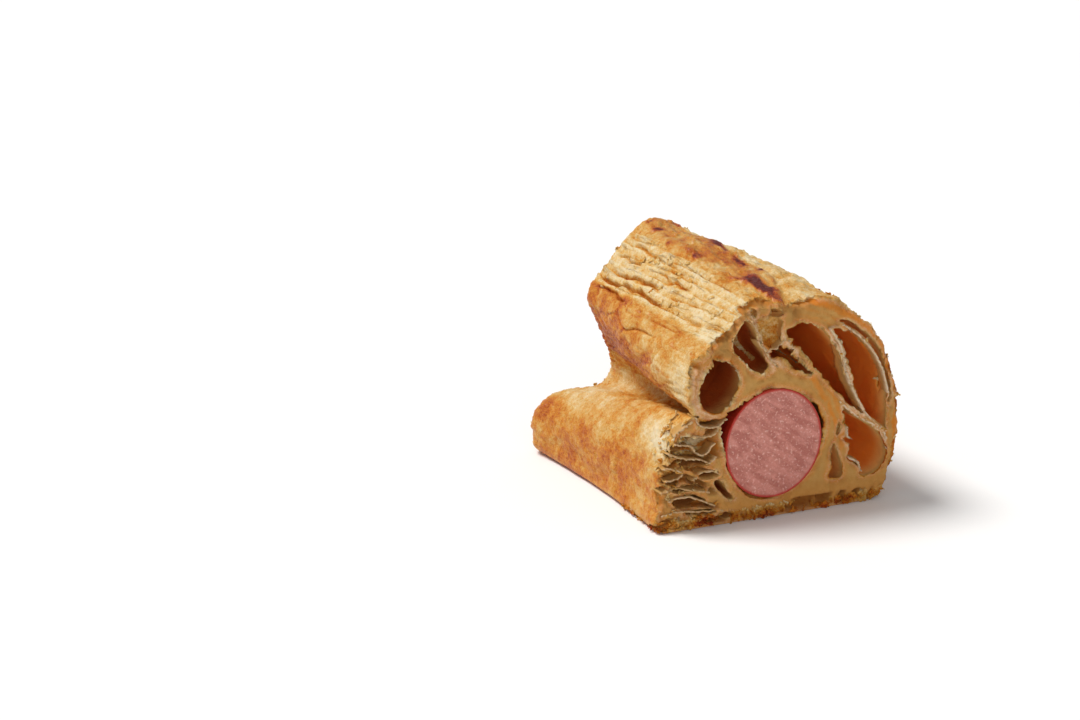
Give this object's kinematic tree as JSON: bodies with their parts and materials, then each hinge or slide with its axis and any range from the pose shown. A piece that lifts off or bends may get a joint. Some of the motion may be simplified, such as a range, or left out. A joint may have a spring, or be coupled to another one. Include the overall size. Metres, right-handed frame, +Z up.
{
  "type": "sausage roll half",
  "caption": "Half of a baked puff-pastry sausage roll, cut across: flaky folded pastry with steam pockets round a pink sausage.",
  "frame": {"origin": "middle of the underside's bounding box, on the surface that the roll rests on", "axes": "+Z up; -Y out of the cut face; +X towards the closed fold of the pastry, -X towards its open flaps"},
  "size_m": [0.0646, 0.0644, 0.0561],
  "materials": {
    "pastry": "baked puff pastry: golden brown and slightly glazed on top, pale and flaky at the sides, matt cream crumb at the cut",
    "sausage": "cooked sausage: fine-grained moist pink meat at the cut, glossy deep red skin"
  },
  "bodies": {
    "root": {"pastry": "pastry", "sausage": "sausage"}
  },
  "joints": []
}
